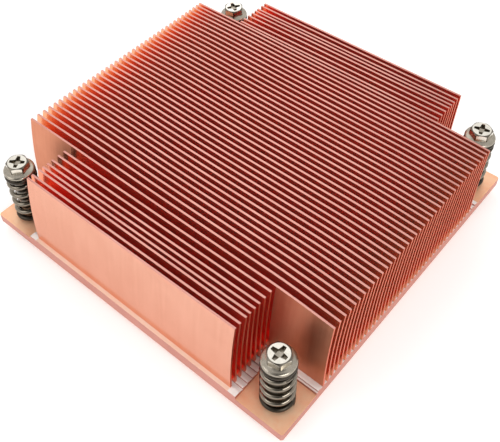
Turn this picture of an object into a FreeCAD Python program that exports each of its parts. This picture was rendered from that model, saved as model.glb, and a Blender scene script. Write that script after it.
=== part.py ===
import FreeCAD, Part
import math
import os

# Passive server heatsink: a square copper block whose fins are skived from the block itself,
# held down by four captive screws with springs. Millimetres, +Z up. The origin is the centre
# of the flat underside that sits on the processor, and the fins run along X.

# Block
SIDE = 92.0
BASE_TOP = 3.6
HEIGHT = 24.2
EDGE_CHAMFER = 0.4

# Fins, counted from the front (-Y)
FIN_COUNT = 55
SHORT_FINS = 8
PITCH = 1.62
FIN_THICK = 0.5
FIRST_ROOT_Y = -44.8
SHORT_FIN_HALF = 31.25
VALLEY_HIGH = 3.5
VALLEY_LOW = 3.15

# How far each tip has curled towards +Y past its own root
LONG_CURL = 2.8
FRONT_EASE = 0.7
FRONT_EASE_FINS = 1.3
BACK_EASE = 0.6
BACK_EASE_FINS = 1.6
FRONT_SHORT_CURLS = (1.9, 1.7, 2.0, 1.6, 1.4, 1.2, 1.4, 1.6)
BACK_SHORT_CURLS = (1.8, 1.8, 1.9, 1.9, 1.6, 1.2, 1.2, 1.1)

# Milled corner pads
PAD_TOP = 2.5
PAD_INNER_X = 33.4
PAD_INNER_Y = 34.2
PAD_CORNER_R = 3.0

# Screw holes, on the 80 mm square of the socket frame
SCREW_OFFSET = 40.0
HOLE_R = 2.75
POCKET_R = 4.3
POCKET_DEEP = 1.0

# Captive screw
HEAD_TOP = 21.1
HEX_BOTTOM = 19.0
HEX_FLATS = 5.0
FLANGE_R = 3.6
FLANGE_THICK = 0.8
SHOULDER_R = 2.25
THREAD_R = 2.0
TIP_Z = -2.4
RECESS_SPAN = 3.8
RECESS_SLOT = 0.8
RECESS_DEEP = 1.4

# Retaining clip in the screw's groove, up inside the pocket of the underside
CLIP_THICK = 0.6
CLIP_OUTER_R = 3.6
CLIP_INNER_R = 2.65
CLIP_MOUTH = 3.6
PRONG_WIDE = 1.3
CLIP_GAP = 0.02
GROOVE_R = 1.65
GROOVE_PLAY = 0.05

# Spring
WIRE_R = 0.6
SPRING_R = 3.3
END_TURNS = 1.0
END_PITCH = 1.25
ACTIVE_TURNS = 4.2
STEPS_PER_TURN = 10
WIRE_SIDES = 6

# Which way each screw happens to be turned, degrees
CORNERS = {
    "front_right": (1, -1, 12.0),
    "front_left": (-1, -1, 47.0),
    "rear_right": (1, 1, 28.0),
    "rear_left": (-1, 1, 70.0),
}

UP = FreeCAD.Vector(0, 0, 1)
ALONG_X = FreeCAD.Vector(1, 0, 0)
FLANGE_BOTTOM = HEX_BOTTOM - FLANGE_THICK
CLIP_TOP = POCKET_DEEP - CLIP_GAP
CLIP_BOTTOM = CLIP_TOP - CLIP_THICK


def cylinder(radius, low, high):
    return Part.makeCylinder(radius, high - low, FreeCAD.Vector(0, 0, low))


def root_y(fin):
    """Centre line of a fin where it leaves the block. Half numbers are the valleys between."""
    return FIRST_ROOT_Y + PITCH * fin


def tip_curl(fin):
    first_long = SHORT_FINS
    last_long = FIN_COUNT - SHORT_FINS - 1
    if fin < first_long:
        return FRONT_SHORT_CURLS[fin]
    if fin > last_long:
        return BACK_SHORT_CURLS[fin - last_long - 1]
    front = FRONT_EASE * math.exp((first_long - fin) / FRONT_EASE_FINS)
    back = BACK_EASE * math.exp((fin - last_long) / BACK_EASE_FINS)
    return LONG_CURL - front - back


def curl_point(root, curl, offset, z):
    """Point at height z on the arc that leaves the block upright and ends curl further back.

    offset moves the arc sideways by that much, concentrically, for the two faces of a fin.
    """
    rise = HEIGHT - VALLEY_LOW
    radius = (rise * rise + curl * curl) / (2 * curl)
    own_radius = radius - offset
    y = root + radius - math.sqrt(own_radius**2 - (z - VALLEY_LOW) ** 2)
    return FreeCAD.Vector(0, y, z)


def curl_arc(root, curl, offset, z_from, z_to):
    ends = [curl_point(root, curl, offset, z) for z in (z_from, (z_from + z_to) / 2, z_to)]
    return Part.Arc(*ends).toShape()


def skived_block():
    """The whole row as one profile, drawn front to back, run across the full width."""
    half = SIDE / 2
    start = FreeCAD.Vector(0, -half, 0)
    here = FreeCAD.Vector(0, -half, BASE_TOP)
    edges = [Part.makeLine(start, here)]
    foot = BASE_TOP
    for fin in range(FIN_COUNT):
        root = root_y(fin)
        curl = tip_curl(fin)
        last = fin == FIN_COUNT - 1
        heel = BASE_TOP if last else VALLEY_HIGH
        front = curl_arc(root, curl, -FIN_THICK / 2, foot, HEIGHT)
        back = curl_arc(root, curl, FIN_THICK / 2, HEIGHT, heel)
        edges.append(Part.makeLine(here, front.firstVertex().Point))
        edges.append(front)
        edges.append(Part.makeLine(front.lastVertex().Point, back.firstVertex().Point))
        edges.append(back)
        here = back.lastVertex().Point
        foot = VALLEY_LOW
    for y, z in ((half, BASE_TOP), (half, 0), (-half, 0)):
        there = FreeCAD.Vector(0, y, z)
        edges.append(Part.makeLine(here, there))
        here = there
    block = Part.Face(Part.Wire(edges)).extrude(ALONG_X * SIDE)
    block.translate(ALONG_X * -half)
    return block


def notch_cutter(side):
    """Takes the ends off the short fins down to the base, up to the valley beside the long ones."""
    valley = SHORT_FINS - 0.5 if side < 0 else FIN_COUNT - SHORT_FINS - 0.5
    root = root_y(valley)
    curl = LONG_CURL - (FRONT_EASE if side < 0 else BACK_EASE)
    above = HEIGHT + 1
    wall = curl_arc(root, curl, 0, BASE_TOP, above)
    low, high = wall.firstVertex().Point, wall.lastVertex().Point
    far_high = FreeCAD.Vector(0, side * SIDE, above)
    far_low = FreeCAD.Vector(0, side * SIDE, BASE_TOP)
    lines = [Part.makeLine(a, b) for a, b in ((high, far_high), (far_high, far_low), (far_low, low))]
    cutter = Part.Face(Part.Wire([wall] + lines)).extrude(ALONG_X * SIDE)
    cutter.translate(ALONG_X * SHORT_FIN_HALF)
    return cutter


def pad_cutter(side_x, side_y):
    size = SIDE / 2
    pad = Part.makeBox(size, size, HEIGHT, FreeCAD.Vector(PAD_INNER_X, PAD_INNER_Y, PAD_TOP))
    inner = [
        edge
        for edge in pad.Edges
        if abs(edge.CenterOfMass.x - PAD_INNER_X) + abs(edge.CenterOfMass.y - PAD_INNER_Y) < 1e-6
    ]
    pad = pad.makeFillet(PAD_CORNER_R, inner)
    if side_x < 0:
        pad = pad.mirror(FreeCAD.Vector(), ALONG_X)
    if side_y < 0:
        pad = pad.mirror(FreeCAD.Vector(), FreeCAD.Vector(0, 1, 0))
    return pad


def heatsink_body():
    block = skived_block()
    cutters = []
    for side in (-1, 1):
        notch = notch_cutter(side)
        cutters += [notch, notch.mirror(FreeCAD.Vector(), ALONG_X)]
    for side_x, side_y, _ in CORNERS.values():
        cutters.append(pad_cutter(side_x, side_y))
        for hole in (cylinder(HOLE_R, -1, BASE_TOP), cylinder(POCKET_R, -1, POCKET_DEEP)):
            hole.translate(FreeCAD.Vector(side_x * SCREW_OFFSET, side_y * SCREW_OFFSET, 0))
            cutters.append(hole)
    body = block.cut(cutters).removeSplitter()
    upright = [
        edge
        for edge in body.Edges
        if abs(abs(edge.CenterOfMass.x) - SIDE / 2) + abs(abs(edge.CenterOfMass.y) - SIDE / 2) < 1e-6
    ]
    return body.makeChamfer(EDGE_CHAMFER, upright)


def cross_recess():
    slots = []
    for angle in (0, 90):
        corner = FreeCAD.Vector(-RECESS_SPAN / 2, -RECESS_SLOT / 2, HEAD_TOP - RECESS_DEEP)
        slot = Part.makeBox(RECESS_SPAN, RECESS_SLOT, RECESS_DEEP, corner)
        slot.rotate(FreeCAD.Vector(), UP, angle)
        slots.append(slot)
    return slots[0].fuse(slots[1])


def captive_screw():
    """Flanged hex head with a cross recess, a plain shoulder, and the thread below the groove."""
    corner_r = HEX_FLATS / math.sqrt(3)
    ring = [
        FreeCAD.Vector(corner_r * math.cos(k * math.pi / 3), corner_r * math.sin(k * math.pi / 3), HEX_BOTTOM)
        for k in range(7)
    ]
    hexagon = Part.Face(Part.makePolygon(ring)).extrude(UP * (HEAD_TOP - HEX_BOTTOM))
    rounds = (
        (FLANGE_R, FLANGE_BOTTOM, HEX_BOTTOM),
        (SHOULDER_R, CLIP_TOP + GROOVE_PLAY, FLANGE_BOTTOM),
        (GROOVE_R, CLIP_BOTTOM - GROOVE_PLAY, CLIP_TOP + GROOVE_PLAY),
        (THREAD_R, TIP_Z, CLIP_BOTTOM - GROOVE_PLAY),
    )
    screw = hexagon.fuse([cylinder(*size) for size in rounds])
    return screw.removeSplitter().cut(cross_recess())


def retaining_clip():
    """Open ring with three prongs that reach into the groove, pushed on from the side."""
    ring = cylinder(CLIP_OUTER_R, CLIP_BOTTOM, CLIP_TOP).cut(cylinder(CLIP_INNER_R, CLIP_BOTTOM, CLIP_TOP))
    mouth = Part.makeBox(
        SIDE, CLIP_MOUTH, CLIP_THICK, FreeCAD.Vector(0, -CLIP_MOUTH / 2, CLIP_BOTTOM)
    )
    reach = (CLIP_INNER_R + CLIP_OUTER_R) / 2
    prongs = []
    for angle in (100, 180, 260):
        prong = Part.makeBox(reach, PRONG_WIDE, CLIP_THICK, FreeCAD.Vector(0, -PRONG_WIDE / 2, CLIP_BOTTOM))
        prong.rotate(FreeCAD.Vector(), UP, angle)
        prongs.append(prong)
    seat = cylinder(GROOVE_R + GROOVE_PLAY, CLIP_BOTTOM, CLIP_TOP)
    return ring.cut(mouth).fuse(prongs).cut(seat).removeSplitter()


def spring_height(turn, turns, rise):
    """Height of the wire after so many turns: closed end coils, open ones between."""
    end_rise = END_TURNS * END_PITCH
    active_pitch = (rise - 2 * end_rise) / ACTIVE_TURNS
    if turn < END_TURNS:
        return turn * END_PITCH
    if turn > turns - END_TURNS:
        return rise - (turns - turn) * END_PITCH
    return end_rise + (turn - END_TURNS) * active_pitch


def spring():
    """A helix of straight steps, with a six-sided wire, from the pad up to the flange."""
    turns = ACTIVE_TURNS + 2 * END_TURNS
    rise = FLANGE_BOTTOM - PAD_TOP - 2 * WIRE_R
    steps = round(turns * STEPS_PER_TURN)
    rings = []
    for step in range(steps + 1):
        turn = turns * step / steps
        angle = 2 * math.pi * turn
        outward = FreeCAD.Vector(math.cos(angle), math.sin(angle), 0)
        centre = outward * SPRING_R + UP * (PAD_TOP + WIRE_R + spring_height(turn, turns, rise))
        ring = []
        for side in range(WIRE_SIDES):
            around = 2 * math.pi * side / WIRE_SIDES
            ring.append(centre + (outward * math.sin(around) + UP * math.cos(around)) * WIRE_R)
        rings.append(ring)
    facets = [rings[0] + rings[0][:1], rings[-1] + rings[-1][:1]]
    for ring, following in zip(rings, rings[1:]):
        for side in range(WIRE_SIDES):
            a, b = ring[side - 1], ring[side]
            c, d = following[side - 1], following[side]
            facets.append((a, b, d, a))
            facets.append((a, d, c, a))
    skin = Part.makeShell([Part.Face(Part.makePolygon(facet)) for facet in facets])
    skin.sewShape()
    return Part.makeSolid(skin)


def export(name, shape):
    if not shape.isValid():
        raise RuntimeError(f"{name} isn't a valid solid")
    shape.exportStep(f"parts/{name}.step")


os.makedirs("parts", exist_ok=True)
export("heatsink_body", heatsink_body())
screw = captive_screw()
clip = retaining_clip()
coil = spring()
for corner, (side_x, side_y, turned) in CORNERS.items():
    place = FreeCAD.Vector(side_x * SCREW_OFFSET, side_y * SCREW_OFFSET, 0)
    spin = FreeCAD.Rotation(UP, turned)
    for piece, shape in (("screw", screw), ("clip", clip), ("spring", coil)):
        placed = shape.copy()
        placed.Placement = FreeCAD.Placement(place, spin)
        export(f"{corner}_{piece}", placed)
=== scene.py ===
import bmesh
import bpy
import math
from mathutils import Matrix, Vector, noise


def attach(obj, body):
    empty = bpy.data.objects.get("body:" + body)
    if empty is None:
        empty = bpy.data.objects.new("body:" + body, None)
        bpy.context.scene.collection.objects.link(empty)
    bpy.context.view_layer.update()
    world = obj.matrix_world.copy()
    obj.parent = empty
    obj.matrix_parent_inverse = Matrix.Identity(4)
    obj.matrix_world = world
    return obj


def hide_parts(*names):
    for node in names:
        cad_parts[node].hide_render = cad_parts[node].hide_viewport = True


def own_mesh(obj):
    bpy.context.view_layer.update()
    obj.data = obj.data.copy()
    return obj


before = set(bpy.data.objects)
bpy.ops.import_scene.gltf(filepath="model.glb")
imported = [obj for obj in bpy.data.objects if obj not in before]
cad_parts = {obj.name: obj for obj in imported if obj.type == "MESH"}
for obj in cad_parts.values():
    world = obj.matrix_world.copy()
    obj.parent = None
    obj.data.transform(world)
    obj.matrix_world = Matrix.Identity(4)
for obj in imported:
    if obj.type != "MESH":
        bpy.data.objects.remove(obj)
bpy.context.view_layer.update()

# ---------------------------------------------------------------- heatsink body
# One block of C1100 copper. Each fin was sliced from the block and bent upright by the skiving
# blade, then the corners were milled away for the screws, and the underside was ground flat.
MM = 0.001
HEIGHT = 24.2
BASE_TOP = 3.6
PAD_TOP = 2.5
SIDE_HALF = 46.0
SHORT_FIN_HALF = 31.25
FIRST_ROOT_Y = -44.8
PITCH = 1.62
FIN_COUNT = 55
SHORT_FINS = 8
FIN_THICK = 0.5


def linear(hex_colour):
    """An sRGB hex colour as the linear RGBA that shader sockets take."""
    shares = [int(hex_colour[i : i + 2], 16) / 255 for i in (1, 3, 5)]
    return [s / 12.92 if s <= 0.04045 else ((s + 0.055) / 1.055) ** 2.4 for s in shares] + [1.0]


def add(tree, kind, feeds=None, **settings):
    """One shader node, its settings, and for each socket a value or the socket that feeds it."""
    made = tree.nodes.new("ShaderNode" + kind)
    for name, value in settings.items():
        setattr(made, name, value)
    for socket, source in (feeds or {}).items():
        if isinstance(source, bpy.types.NodeSocket):
            tree.links.new(source, made.inputs[socket])
        else:
            made.inputs[socket].default_value = source
    return made


def new_finish(name):
    """An empty material with its output, and the Object coordinates its patterns are laid on."""
    made = bpy.data.materials.new(name)
    made.use_nodes = True
    made.node_tree.nodes.clear()
    return made, made.node_tree, add(made.node_tree, "TexCoord").outputs["Object"]


def show(bm, name, finishes, smooth_below=30):
    """Writes the mesh as an object whose sharp edges stay sharp."""
    mesh = bpy.data.meshes.new(name)
    bm.to_mesh(mesh)
    if "custom_normal" in mesh.attributes:
        mesh.attributes.remove(mesh.attributes["custom_normal"])
    for finish in finishes:
        mesh.materials.append(finish)
    mesh.shade_smooth()
    mesh.set_sharp_from_angle(angle=math.radians(smooth_below))
    made = bpy.data.objects.new(name, mesh)
    bpy.context.scene.collection.objects.link(made)
    return made


def everything(bm):
    return bm.verts[:] + bm.edges[:] + bm.faces[:]


# The blade leaves long shallow ripples in a fin. It drags the right end of a long one forward, lets
# its left end fall back, and leaves the short ones a little askew.
WAVE_DEEP = 0.04
WAVE_LONG = 19.0
WAVE_TALL = 40.0
LEAN_DEEP = 0.05
ASKEW = 0.22
ASKEW_UNEVEN = 0.8
BOW_DEEP = 0.43
BOW_LONG = 32.0
BOW_RETURN = 0.4
BOW_RETURN_LONG = 14.0
OUTER_BOW = 0.3
BOW_GAIN = 0.16
DRAG_DEEP = 0.62
DRAG_LONG = 18.0
DRAG_CURVE = 1.6
DRAG_UNEVEN = 0.3
# Painted highlight: this much of each valley at the fins' ends gets the same near-white finish as the
# ledge.
HIGHLIGHT_END = 1.1

block = bmesh.new()
block.from_mesh(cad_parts["heatsink_body"].data)
bmesh.ops.remove_doubles(block, verts=block.verts, dist=1e-7)
tip_edges = sorted({round(v.co.y / MM, 3) for v in block.verts if v.co.z > (HEIGHT - 0.01) * MM})
tips = [(a + b) / 2 for a, b in zip(tip_edges, tip_edges[1:]) if b - a < 1.2 * FIN_THICK]
# Long faces are sliced across, so that they can bend and their finishes can change.
long_end, short_end = SIDE_HALF - HIGHLIGHT_END, SHORT_FIN_HALF - HIGHLIGHT_END
slices_x = [-long_end, -40, -36, -SHORT_FIN_HALF, -short_end, -24, -16, -8]
slices_x += [0, 8, 16, 24, 28, short_end, SHORT_FIN_HALF, 34, 36, 38, 40, 42, long_end]
slices_z = [5, 8, 11, 14, 17, 20, 22]
slices = [(Vector((x * MM, 0, 0)), Vector((1, 0, 0))) for x in slices_x]
slices += [(Vector((0, 0, z * MM)), Vector((0, 0, 1))) for z in slices_z]
for place, facing in slices:
    bmesh.ops.bisect_plane(block, geom=everything(block), dist=1e-7, plane_co=place, plane_no=facing)


def fin_at(y, z):
    """Which fin holds a point, from where its root is and how far its tip has curled back."""
    share = max(0.0, (z - BASE_TOP) / (HEIGHT - BASE_TOP)) ** 2
    centres = [FIRST_ROOT_Y + PITCH * k for k in range(FIN_COUNT)]
    return min(range(FIN_COUNT), key=lambda k: abs(y - centres[k] - share * (tips[k] - centres[k])))


def ease(share):
    """From 0 to 1 with a soft start and a soft end."""
    share = max(0.0, min(1.0, share))
    return share * share * (3 - 2 * share)


def draw(fin, stride, row):
    """A number from about -1 to 1 for a fin, picked from a row of noise."""
    return noise.noise((fin * stride, row, 0.0))


def sway(fin, x):
    """How far the blade has pushed the top of a fin towards +Y at x, in mm."""
    if fin < SHORT_FINS or fin >= FIN_COUNT - SHORT_FINS:
        return ASKEW * x / SHORT_FIN_HALF * (1 + ASKEW_UNEVEN * draw(fin, 0.9, 3.3))
    fins_outside = min(fin - SHORT_FINS, FIN_COUNT - SHORT_FINS - 1 - fin)
    bow = BOW_DEEP * min(1.0, OUTER_BOW + BOW_GAIN * fins_outside)
    bow *= ease(-x / BOW_LONG) - BOW_RETURN * ease((-x - BOW_LONG) / BOW_RETURN_LONG)
    drag = DRAG_DEEP * max(0.0, 1 - (SIDE_HALF - x) / DRAG_LONG) ** DRAG_CURVE
    return bow - drag * (1 + DRAG_UNEVEN * draw(fin, 0.83, 9.1))


for v in block.verts:
    x, y, z = v.co / MM
    if z <= BASE_TOP + 0.01:
        continue
    fin = fin_at(y, z)
    lift = (z - BASE_TOP) / (HEIGHT - BASE_TOP)
    wave = WAVE_DEEP * noise.noise((x / WAVE_LONG, fin * 0.61, z / WAVE_TALL)) * lift**1.5
    lean = LEAN_DEEP * draw(fin, 1.37, 5.2) * lift
    v.co.y += (wave + lean + sway(fin, x) * lift**1.2) * MM


# Painted light: the ends of the fins are painted paler and more orange, further in on the left, for the
# light that gets into the gaps between the fins there.
END_GLOW_LEFT = 26.0
END_GLOW_RIGHT = 11.0
TINT_MM = 11
SCRATCH_DEPTH_MM = 0.02
ROUGH_SPREAD = 0.06


def copper(name, dark, light, rough, scratch_mm, scratch_deep, metal=1.0, end_glow=None):
    """Bare copper: slow changes of tint, and scratches as long in x, y and z as scratch_mm says."""
    made, tree, spot = new_finish(name)
    tint_at = add(tree, "Mapping", {"Vector": spot, "Scale": (1 / (TINT_MM * MM),) * 3})
    tint = add(
        tree, "TexNoise", {"Vector": tint_at.outputs[0], "Scale": 1.0, "Detail": 3.0, "Roughness": 0.55}
    )
    scratch_at = add(tree, "Mapping", {"Vector": spot, "Scale": [1 / (size * MM) for size in scratch_mm]})
    scratches = add(
        tree, "TexNoise", {"Vector": scratch_at.outputs[0], "Scale": 1.0, "Detail": 4.0, "Roughness": 0.6}
    )
    both = add(tree, "Mix", {"Factor": 0.45, "A": tint.outputs["Fac"], "B": scratches.outputs["Fac"]})
    share = add(tree, "MapRange", {"Value": both.outputs[0], "From Min": 0.3, "From Max": 0.7})
    colour = add(tree, "Mix", {0: share.outputs[0], 6: linear(dark), 7: linear(light)}, data_type="RGBA")
    # Painted light: towards both ends of the block the colour turns to the paler tint given for the ends.
    if end_glow:
        along = add(tree, "SeparateXYZ", {"Vector": spot}).outputs["X"]
        for end, glow_stops_at in (
            (-SIDE_HALF, END_GLOW_LEFT - SIDE_HALF),
            (SIDE_HALF, SIDE_HALF - END_GLOW_RIGHT),
        ):
            past_glow = add(
                tree, "MapRange", {"Value": along, "From Min": end * MM, "From Max": glow_stops_at * MM},
                interpolation_type="SMOOTHSTEP",
            )
            both_tints = {0: past_glow.outputs[0], 6: linear(end_glow), 7: colour.outputs[2]}
            colour = add(tree, "Mix", both_tints, data_type="RGBA")
    roughness = add(tree, "MapRange", {
        "Value": scratches.outputs["Fac"], "To Min": rough - ROUGH_SPREAD, "To Max": rough + ROUGH_SPREAD,
    })
    bump = add(tree, "Bump", {
        "Height": scratches.outputs["Fac"], "Strength": scratch_deep, "Distance": SCRATCH_DEPTH_MM * MM,
    })
    shader = add(tree, "BsdfPrincipled", {
        "Base Color": colour.outputs[2], "Metallic": metal, "Roughness": roughness.outputs[0],
        "Normal": bump.outputs[0], "Specular Tint": linear("#FFE0D4"),
    })
    add(tree, "OutputMaterial", {"Surface": shader.outputs[0]})
    return made


# The blade's face of each fin is smooth, with faint lines upwards where the blade dragged. Between
# the fins the copper is the deep red of a fresh cut.
# Its tint for the ends is painted light at the ends of the fins.
fresh = copper(
    "fresh_skived_copper", "#FE8A6D", "#FE9B85", 0.22, (0.9, 4, 25), 0.08, metal=0.945, end_glow="#F3AC86"
)
# The two outermost faces have been wiped and handled, and are paler.
wiped = copper("wiped_skived_copper", "#D89E88", "#E3AD98", 0.24, (0.9, 4, 25), 0.12)
# Where the corners were milled away, the end mill has scraped the fin beside it dull.
scraped = copper("scraped_skived_copper", "#CB8569", "#DA997C", 0.42, (0.7, 4, 12), 0.25)
# Fin tips are left bright by the last pass of a flat cutter.
faced = copper("faced_fin_tip_copper", "#C68A7F", "#D69D91", 0.28, (3, 0.5, 3), 0.05)
# Sawn fin ends are dull and reddish.
sawn = copper("sawn_fin_end_copper", "#D87660", "#E68E78", 0.38, (3, 0.4, 0.6), 0.25)
# The pads are milled to a satin orange. The ledges beside them are painted almost white and not metal, a
# painted highlight for the light their milled copper reflects.
milled = copper("milled_pad_copper", "#FFBA90", "#FFD8B4", 0.50, (1.6, 1.6, 2), 0.10, 0.5)
ledge_highlight = copper("painted_highlight_ledge_copper", "#FFF2EA", "#FFFFFC", 0.50, (1.2, 1.2, 2), 0.10, 0.0)
# The ledges along the front and the rear lie in line with the fins, and are a warmer cream: a painted
# highlight, in part real reflection of their partly metal copper.
strip_highlight = copper("painted_highlight_front_ledge_copper", "#FFD6BC", "#FFEBDC", 0.45, (4, 0.5, 2), 0.10, 0.3)
# The rim of the base was sheared and deburred, and has the soft pink of old copper.
edge = copper("sheared_edge_copper", "#C08E88", "#D2A49C", 0.36, (5, 5, 0.4), 0.20)
# The underside is ground flat, with fine straight lines along the block.
ground = copper("ground_base_copper", "#E8A080", "#F2B394", 0.22, (30, 0.25, 2), 0.20)
FINISHES = [fresh, wiped, scraped, faced, sawn, milled, ledge_highlight, strip_highlight, edge, ground]


def finish_of(face):
    """The finish that the making of the block has left on a face, or a painted highlight on the ledges."""
    x, y, z = face.calc_center_median() / MM
    if z > HEIGHT - 0.01:
        return faced
    if z > BASE_TOP + 0.02:
        if abs(face.normal.x) > 0.9:
            return sawn
        fin = fin_at(y, z)
        outermost = 0 if abs(x) < SHORT_FIN_HALF else SHORT_FINS
        if fin in (outermost, FIN_COUNT - 1 - outermost) and face.normal.y * y > 0:
            return wiped if abs(x) < SHORT_FIN_HALF else scraped
        return fresh
    if face.normal.z < -0.9:
        return ground
    if face.normal.z < 0.5:
        return edge
    if z < PAD_TOP + 0.02:
        return milled
    # Painted highlight: the ledges, and the valleys near the fins' ends, get the near-white ledge finishes.
    fins_passed = (y - FIRST_ROOT_Y) / PITCH
    if abs(x) < SHORT_FIN_HALF and not 0 < fins_passed < FIN_COUNT - 1:
        return strip_highlight
    among_long = SHORT_FINS - 0.2 < fins_passed < FIN_COUNT - SHORT_FINS - 0.8
    fin_end = SIDE_HALF if among_long else SHORT_FIN_HALF
    return fresh if abs(x) < fin_end - HIGHLIGHT_END else ledge_highlight


for face in block.faces:
    face.material_index = FINISHES.index(finish_of(face))
body = show(block, "skived_copper_block", FINISHES)
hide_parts("heatsink_body")
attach(body, "block")

# ---------------------------------------------------------------- springs
# A compression spring of bright spring steel wire stands round each screw, from the pad up to
# the flange. Its end coils are closed, and ground flat where they bear.
WIRE_R = 0.6
SPRING_R = 3.3
FLANGE_BOTTOM = 18.2
END_PITCH = 1.25
ACTIVE_TURNS = 4.2
GROUND = 0.25
DARK_END = 2.1
STEPS = 32
SCREW_OFFSET = 40.0
# The side of x, the side of y, and how far round the screw and its spring happen to be turned.
CORNERS = {
    "front_right": (1, -1, 12.0),
    "front_left": (-1, -1, 47.0),
    "rear_right": (1, 1, 28.0),
    "rear_left": (-1, 1, 70.0),
}
UP = (0, 0, 1)


def wind(bm, end, turns, climb):
    """Winds the end of a wire on by so many turns, and returns its new end."""
    steps = round(turns * STEPS)
    grown = bmesh.ops.spin(
        bm, geom=end, cent=(0, 0, 0), axis=UP, dvec=(0, 0, climb / steps * MM), angle=math.tau * turns,
        steps=steps,
    )
    return grown["geom_last"]


coil = bmesh.new()
start = Matrix.Translation((SPRING_R * MM, 0, (PAD_TOP + GROUND) * MM))
bmesh.ops.create_circle(
    coil, segments=16, radius=WIRE_R * MM, matrix=start @ Matrix.Rotation(math.pi / 2, 4, "X")
)
open_length = FLANGE_BOTTOM - PAD_TOP - 2 * GROUND - 2 * END_PITCH
wire_end = coil.verts[:] + coil.edges[:]
for turns, climb in ((1, END_PITCH), (ACTIVE_TURNS, open_length), (1, END_PITCH)):
    wire_end = wind(coil, wire_end, turns, climb)
for height, facing in ((PAD_TOP, -1), (FLANGE_BOTTOM, 1)):
    bmesh.ops.bisect_plane(
        coil, geom=everything(coil), dist=1e-7, plane_co=(0, 0, height * MM), plane_no=(0, 0, facing),
        clear_outer=True,
    )
bmesh.ops.holes_fill(coil, edges=[e for e in coil.edges if e.is_boundary], sides=0)
bmesh.ops.recalc_face_normals(coil, faces=coil.faces)


DIE_MARKS_MM = (0.8, 0.8, 0.2)


def wire(name, dark, light, smoothest, roughest):
    """Drawn steel wire, with marks of the die as long as the wire is thick."""
    made, tree, spot = new_finish(name)
    drawn_at = add(tree, "Mapping", {"Vector": spot, "Scale": [1 / (size * MM) for size in DIE_MARKS_MM]})
    drawn = add(tree, "TexNoise", {"Vector": drawn_at.outputs[0], "Scale": 1.0, "Detail": 3.0})
    tints = {0: drawn.outputs["Fac"], 6: linear(dark), 7: linear(light)}
    colour = add(tree, "Mix", tints, data_type="RGBA")
    roughness = add(
        tree, "MapRange", {"Value": drawn.outputs["Fac"], "To Min": smoothest, "To Max": roughest}
    )
    shader = add(tree, "BsdfPrincipled", {
        "Base Color": colour.outputs[2], "Metallic": 1.0, "Roughness": roughness.outputs[0],
    })
    add(tree, "OutputMaterial", {"Surface": shader.outputs[0]})
    return made


# The open coils are bright. The closed ones at both ends are painted dark: painted shade under the flange
# and at the foot on the pad.
drawn_wire = wire("drawn_spring_steel", "#686056", "#958C7E", 0.10, 0.22)
shaded_end_wire = wire("painted_shade_spring_end_steel", "#2E2923", "#4A443C", 0.24, 0.38)
for face in coil.faces:
    height = face.calc_center_median().z / MM
    face.material_index = int(height < PAD_TOP + DARK_END or height > FLANGE_BOTTOM - DARK_END)


def at_corner(bm, corner, name, finishes, smooth_below):
    """A copy of a piece made at the origin, turned and set on its corner's screw axis."""
    side_x, side_y, turned = CORNERS[corner]
    place = Matrix.Translation((side_x * SCREW_OFFSET * MM, side_y * SCREW_OFFSET * MM, 0))
    copy = bm.copy()
    copy.transform(place @ Matrix.Rotation(math.radians(turned), 4, "Z"))
    return show(copy, name, finishes, smooth_below)


for corner, (side_x, side_y, _) in CORNERS.items():
    spring = at_corner(coil, corner, f"{corner}_spring_wire", [drawn_wire, shaded_end_wire], 50)
    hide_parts(f"{corner}_spring")
    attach(spring, "block")
    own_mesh(spring)

# ---------------------------------------------------------------- captive screws
# A nickel-plated steel screw, cold-headed with a flanged hex head and a cross recess. Its plain
# shoulder runs through the base to a groove for the clip, and the M4 thread is rolled below that.
HEAD_TOP = 21.1
HEX_BOTTOM = 19.0
HEX_FLATS = 5.0
FLANGE_R = 3.8
SHOULDER_R = 2.25
GROOVE_R = 1.65
GROOVE_TOP = 1.03
GROOVE_BOTTOM = 0.33
THREAD_R = 2.0
THREAD_PITCH = 0.7
THREAD_DEEP = 0.4
TIP_Z = -2.4
ROUND_STEPS = 48
EDGE_BREAK = 0.2
CHAMFER_R = 2.3
CHAMFER_DEG = 30
CHAMFER_STEPS = 24

# Half of the flange, shoulder and groove as (radius, height), spun round the screw's axis.
screw = bmesh.new()
profile = (
    (0, 19.3), (2.55, 19.3), (2.75, 19.18), (3.15, 19.06), (3.5, 18.96), (3.7, 18.82),
    (FLANGE_R, 18.62), (FLANGE_R, 18.4), (3.65, FLANGE_BOTTOM), (SHOULDER_R, FLANGE_BOTTOM),
    (SHOULDER_R, 1.2), (SHOULDER_R - 0.17, GROOVE_TOP), (GROOVE_R, GROOVE_TOP), (GROOVE_R, 0), (0, 0),
)
outline = [screw.verts.new((r * MM, 0, z * MM)) for r, z in profile]
edges = [screw.edges.new(pair) for pair in zip(outline, outline[1:])]
bmesh.ops.spin(
    screw, geom=outline + edges, cent=(0, 0, 0), axis=UP, angle=math.tau, steps=ROUND_STEPS, use_merge=True
)
bmesh.ops.remove_doubles(screw, verts=screw.verts, dist=1e-7)

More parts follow.
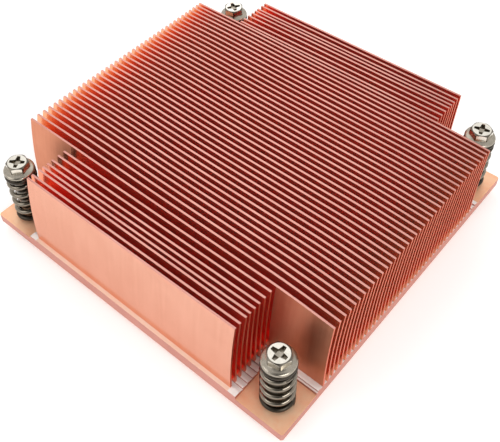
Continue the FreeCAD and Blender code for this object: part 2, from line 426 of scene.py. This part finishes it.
# The hexagon starts a little way down inside the flange, and a cone is cut off its upper corners.
head = bmesh.new()
hex_start = HEX_BOTTOM + 0.1
head_place = Matrix.Translation((0, 0, hex_start * MM)) @ Matrix.Rotation(math.radians(30), 4, "Z")
bmesh.ops.create_circle(
    head, cap_ends=True, segments=6, radius=HEX_FLATS / math.sqrt(3) * MM, matrix=head_place
)
pulled = bmesh.ops.extrude_face_region(head, geom=head.faces[:])
bmesh.ops.translate(
    head, verts=[g for g in pulled["geom"] if isinstance(g, bmesh.types.BMVert)],
    vec=(0, 0, (HEAD_TOP - hex_start) * MM),
)
bmesh.ops.bevel(
    head, geom=[e for e in head.edges if abs(e.verts[0].co.z - e.verts[1].co.z) > MM],
    offset=EDGE_BREAK * MM, offset_type="OFFSET", affect="EDGES", segments=1, profile=0.5, material=-1,
)
tilt = math.radians(CHAMFER_DEG)
head_top = Vector((0, 0, HEAD_TOP * MM))
for k in range(CHAMFER_STEPS):
    around = math.tau * (k + 0.5) / CHAMFER_STEPS
    outward = Vector((math.cos(around), math.sin(around), 0))
    cut = bmesh.ops.bisect_plane(
        head, geom=everything(head), dist=1e-8, plane_co=outward * CHAMFER_R * MM + head_top,
        plane_no=outward * math.sin(tilt) + Vector((0, 0, math.cos(tilt))), clear_outer=True,
    )
    rim = [g for g in cut["geom_cut"] if isinstance(g, bmesh.types.BMEdge) and g.is_boundary]
    bmesh.ops.holes_fill(head, edges=rim, sides=0)

# The recess is a cross with four deeper pockets in its arms, punched into the top of the head.
RECESS_REACH = 1.9
RECESS_HALF = 0.38
RECESS_WEB = 0.62
RECESS_MIDDLE = 0.45
RECESS_DEEP = 1.1
RECESS_TAPER = 0.9
RECESS_TURN = -12
top = max(head.faces, key=lambda f: f.calc_center_median().z)
rim = top.edges[:]
bmesh.ops.delete(head, geom=[top], context="FACES_ONLY")
reach, half, web = RECESS_REACH * MM, RECESS_HALF * MM, RECESS_WEB * MM
arm = [Vector((x, y, HEAD_TOP * MM)) for x, y in ((reach, -half), (reach, half), (web, web))]
quarters = [math.radians(RECESS_TURN + 90 * k) for k in range(4)]
cross = [head.verts.new(Matrix.Rotation(turn, 3, "Z") @ point) for turn in quarters for point in arm]
recess = head.faces.new(cross)
sunk = bmesh.ops.extrude_discrete_faces(head, faces=[recess])["faces"][0]
bmesh.ops.translate(head, verts=sunk.verts, vec=(0, 0, -RECESS_MIDDLE * MM))
bmesh.ops.scale(head, verts=sunk.verts, vec=(RECESS_TAPER, RECESS_TAPER, 1))
floor_parts = [sunk]
for turn in quarters:
    outward = Matrix.Rotation(turn, 3, "Z") @ Vector((1, 0, 0))
    geom = {g for f in floor_parts for g in (f, *f.edges, *f.verts)}
    cut = bmesh.ops.bisect_plane(head, geom=list(geom), dist=1e-8, plane_co=outward * web, plane_no=outward)
    floor_parts = [g for g in cut["geom"] if isinstance(g, bmesh.types.BMFace)]
arms = sorted(floor_parts, key=lambda f: f.calc_center_median().xy.length)[1:]
pockets = bmesh.ops.extrude_discrete_faces(head, faces=arms)["faces"]
for pocket in pockets:
    bmesh.ops.translate(head, verts=pocket.verts, vec=(0, 0, (RECESS_MIDDLE - RECESS_DEEP) * MM))
lip = [e for e in head.edges if e.is_boundary and e not in rim]
bmesh.ops.triangle_fill(head, edges=rim + lip, use_beauty=True, normal=UP)
bmesh.ops.recalc_face_normals(head, faces=head.faces)

# A zigzag of crests and roots is spun once round while it climbs by one pitch, so that its end meets
# its start. It is longer than the thread at both ends, and cut to length.
ZIGZAG_START = TIP_Z - 2
thread = bmesh.new()
zigzag = []
for k in range(8):
    root_height = ZIGZAG_START + THREAD_PITCH * k
    zigzag.append(thread.verts.new((THREAD_R * MM, 0, (root_height + THREAD_PITCH / 2) * MM)))
    zigzag.append(thread.verts.new(((THREAD_R - THREAD_DEEP) * MM, 0, root_height * MM)))
edges = [thread.edges.new(pair) for pair in zip(zigzag, zigzag[1:])]
bmesh.ops.spin(
    thread, geom=zigzag + edges, cent=(0, 0, 0), axis=UP, dvec=(0, 0, THREAD_PITCH / ROUND_STEPS * MM),
    angle=math.tau, steps=ROUND_STEPS,
)
bmesh.ops.remove_doubles(thread, verts=thread.verts, dist=1e-6)
for height, facing in ((TIP_Z, -1), (GROOVE_BOTTOM, 1)):
    bmesh.ops.bisect_plane(
        thread, geom=everything(thread), dist=1e-8, plane_co=(0, 0, height * MM), plane_no=(0, 0, facing),
        clear_outer=True,
    )
bmesh.ops.holes_fill(thread, edges=[e for e in thread.edges if e.is_boundary], sides=0)
bmesh.ops.recalc_face_normals(thread, faces=thread.faces)


SCUFF_MM = 1.2


def nickel(name, dark, light, smoothest, roughest):
    """Bright nickel plate, with scuffs about as long as SCUFF_MM says."""
    made, tree, spot = new_finish(name)
    scuff_at = add(tree, "Mapping", {"Vector": spot, "Scale": (1 / (SCUFF_MM * MM),) * 3})
    scuffs = add(tree, "TexNoise", {"Vector": scuff_at.outputs[0], "Scale": 1.0, "Detail": 4.0})
    tints = {0: scuffs.outputs["Fac"], 6: linear(dark), 7: linear(light)}
    colour = add(tree, "Mix", tints, data_type="RGBA")
    roughness = add(
        tree, "MapRange", {"Value": scuffs.outputs["Fac"], "To Min": smoothest, "To Max": roughest}
    )
    shader = add(tree, "BsdfPrincipled", {
        "Base Color": colour.outputs[2], "Metallic": 1.0, "Roughness": roughness.outputs[0],
    })
    add(tree, "OutputMaterial", {"Surface": shader.outputs[0]})
    return made


# The top of the head and the six flats are a lighter copy of the plate, a painted highlight. The flange and
# the recess are the plain, duller plate. The shank, the cone chamfer and the broken edges of the head are a
# darker copy, painted shade.
nickel_highlight = nickel("painted_highlight_nickel_head", "#D9D3C6", "#F4EFE4", 0.14, 0.26)
dull = nickel("nickel_plated_flange", "#8B8478", "#B5AC9E", 0.20, 0.34)
nickel_shade = nickel("painted_shade_nickel", "#5A544C", "#7A7368", 0.24, 0.38)

for part in (head, thread):
    mesh = bpy.data.meshes.new("joined")
    part.to_mesh(mesh)
    screw.from_mesh(mesh)
SCREW_FINISHES = [nickel_highlight, dull, nickel_shade]
for face in screw.faces:
    middle = face.calc_center_median() / MM
    chamfer = middle.z > HEX_BOTTOM + 0.5 and 0.5 < face.normal.z < 0.95
    on_hex = middle.z > HEX_BOTTOM and middle.xy.length > RECESS_REACH + 0.3 and abs(face.normal.z) < 0.3
    broken_edge = on_hex and face.calc_area() < MM * MM
    # Painted highlight on the head top and the flats; painted shade on the shank, the chamfer and the
    # broken edges.
    finish = dull
    if on_hex or middle.z > HEAD_TOP - 0.01:
        finish = nickel_highlight
    if middle.z < FLANGE_BOTTOM - 0.1 or chamfer or broken_edge:
        finish = nickel_shade
    face.material_index = SCREW_FINISHES.index(finish)
for corner in CORNERS:
    made = at_corner(screw, corner, f"{corner}_captive_screw", SCREW_FINISHES, 29)
    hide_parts(f"{corner}_screw")
    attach(made, f"screw_{corner}")

# ---------------------------------------------------------------- retaining clips
# An open ring stamped from spring steel strip is pushed into each screw's groove from the side,
# and keeps the screw in the base.
OIL_MM = 0.7
# Steel blackened in hot oil: dark and satin, with paler clouds where the oil ran off.
stamped, tree, spot = new_finish("blackened_spring_steel")
oil_at = add(tree, "Mapping", {"Vector": spot, "Scale": (1 / (OIL_MM * MM),) * 3})
oil = add(tree, "TexNoise", {"Vector": oil_at.outputs[0], "Scale": 1.0, "Detail": 2.0})
tints = {0: oil.outputs["Fac"], 6: linear("#3A3836"), 7: linear("#5E5B57")}
colour = add(tree, "Mix", tints, data_type="RGBA")
shader = add(tree, "BsdfPrincipled", {"Base Color": colour.outputs[2], "Metallic": 1.0, "Roughness": 0.38})
add(tree, "OutputMaterial", {"Surface": shader.outputs[0]})
for corner in CORNERS:
    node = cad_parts[f"{corner}_clip"]
    if not node.material_slots:
        node.data.materials.append(None)
    for place in node.material_slots:
        place.material = stamped

# ---------------------------------------------------------------- studio
# A white sheet under the part, a white room round it, and three soft lamps.
FLOOR_HALF = 1.5
PAPER_GLOW = 0.28
floor = bmesh.new()
bmesh.ops.create_grid(
    floor, x_segments=1, y_segments=1, size=FLOOR_HALF, matrix=Matrix.Translation((0, 0, TIP_Z * MM))
)
paper, tree, _ = new_finish("white_studio_paper")
seen_by = add(tree, "LightPath").outputs
seen = add(tree, "Math", {0: seen_by["Is Camera Ray"], 1: seen_by["Is Glossy Ray"]}, operation="MAXIMUM")
seen = add(tree, "Math", {0: seen.outputs[0], 1: seen_by["Is Transmission Ray"]}, operation="MAXIMUM")
sheet = add(tree, "BsdfDiffuse", {"Color": linear("#F4F3F1")})
white = add(tree, "Emission", {"Color": linear("#FFFFFF"), "Strength": PAPER_GLOW})
bright = add(tree, "AddShader", {0: sheet.outputs[0], 1: white.outputs[0]})
mixed = add(tree, "MixShader", {0: seen.outputs[0], 1: sheet.outputs[0], 2: bright.outputs[0]})
add(tree, "OutputMaterial", {"Surface": mixed.outputs[0]})
show(floor, "studio_floor", [paper])

world = bpy.data.worlds.new("white_room")
bpy.context.scene.world = world
world.use_nodes = True
tree = world.node_tree
tree.nodes.clear()
# The room is white all round, but its wall above the front right corner is dark, and polished metal
# shows it.
DARK_SIDE = (0.455, -0.506, 0.732)
DARK_LEVEL = 0.10
DARK_OUTSIDE, DARK_INSIDE = 0.70, 0.93
way = add(tree, "TexCoord").outputs["Generated"]
towards = add(tree, "VectorMath", {0: way, 1: DARK_SIDE}, operation="DOT_PRODUCT")
dark = add(tree, "MapRange", {
    "Value": towards.outputs["Value"], "From Min": DARK_OUTSIDE, "From Max": DARK_INSIDE,
    "To Min": 1.0, "To Max": DARK_LEVEL,
}, interpolation_type="SMOOTHSTEP")
by_camera = add(tree, "LightPath").outputs["Is Camera Ray"]
shown = add(tree, "Math", {0: by_camera, 1: dark.outputs[0]}, operation="MAXIMUM")
room = add(tree, "Background", {"Color": linear("#FFFFFF"), "Strength": shown.outputs[0]})
add(tree, "OutputWorld", {"Surface": room.outputs[0]})

# Each lamp's place in metres, the side of its square, and its watts. All point at the origin.
LAMPS = {
    "key": ((-0.25, -0.42, 0.42), 0.30, 0.5),
    "back": ((-0.28, 0.31, 0.45), 0.35, 0.25),
    "fill": ((0.45, -0.20, 0.35), 0.30, 1.5),
}
for name, (place, size, power) in LAMPS.items():
    lamp = bpy.data.lights.new(name, "AREA")
    lamp.shape, lamp.size, lamp.energy = "SQUARE", size, power
    made = bpy.data.objects.new(name, lamp)
    made.location = place
    made.rotation_euler = Vector(place).to_track_quat("Z", "Y").to_euler()
    bpy.context.scene.collection.objects.link(made)

AZIMUTH, ELEVATION, ROLL = (math.radians(a) for a in (41.95, 47.09, -1.83))
AIM = Vector((-6.07, -0.75, 10.25)) * MM
DISTANCE = 202.80 * MM
level_back = Vector((math.sin(AZIMUTH), -math.cos(AZIMUTH), 0))
back = level_back * math.cos(ELEVATION) + Vector(UP) * math.sin(ELEVATION)
right = Vector(UP).cross(back).normalized()
up = back.cross(right)
level = Matrix((right, up, back)).transposed().to_4x4()
lens = bpy.data.cameras.new("camera")
lens.lens = 57.215
lens.shift_x, lens.shift_y = 0.0363, -0.1102
lens.clip_start, lens.clip_end = 0.005, 20
camera = bpy.data.objects.new("camera", lens)
camera.matrix_world = Matrix.Translation(AIM + back * DISTANCE) @ level @ Matrix.Rotation(ROLL, 4, "Z")
bpy.context.scene.collection.objects.link(camera)
bpy.context.scene.camera = camera

bpy.context.scene.view_settings.view_transform = "Standard"
# Light crosses a gap between two fins many times, and each time it comes back redder.
bpy.context.scene.cycles.max_bounces = 32
bpy.context.scene.cycles.glossy_bounces = 32
